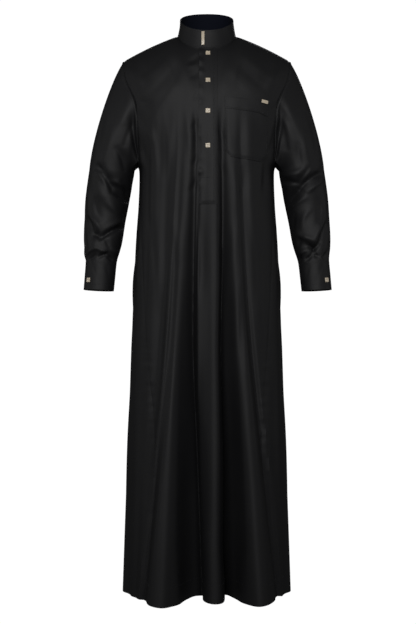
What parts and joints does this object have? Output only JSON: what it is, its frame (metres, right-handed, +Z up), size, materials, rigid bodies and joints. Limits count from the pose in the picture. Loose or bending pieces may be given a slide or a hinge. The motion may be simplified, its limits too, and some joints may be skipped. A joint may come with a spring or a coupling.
{
  "type": "thobe",
  "caption": "Ankle-length long-sleeved thobe with a band collar, a buttoned placket, a chest pocket, buttoned cuffs and side panels, in the hollow form it has when worn.",
  "frame": {"origin": "in the middle of the neck opening, level with the inner ends of the shoulder seams, where a wearer's neck carries the garment", "axes": "+Z up along the body, the front faces -Y, +X towards the wearer's left"},
  "size_m": [0.6468, 0.3371, 1.5241],
  "materials": {
    "black_cloth": "fine smooth black suiting cloth with a soft sheen",
    "navy_cloth": "plain dark navy facing cloth",
    "cream_trim": "cream enamel, softly polished"
  },
  "bodies": {
    "root": {"front_panel": "black_cloth", "back_panel": "black_cloth", "side_panel_right": "black_cloth", "side_panel_left": "black_cloth", "sleeve_right": "black_cloth", "sleeve_left": "black_cloth", "cuff_right": "black_cloth", "cuff_left": "black_cloth", "collar_band": "black_cloth", "collar_facing": "navy_cloth", "placket": "black_cloth", "chest_pocket": "black_cloth", "pocket_band": "black_cloth", "pocket_tag": "cream_trim", "collar_bar": "cream_trim", "front_button_1": "cream_trim", "front_button_2": "cream_trim", "front_button_3": "cream_trim", "front_button_4": "cream_trim", "cuff_button_right": "cream_trim", "cuff_button_left": "cream_trim"}
  },
  "joints": []
}
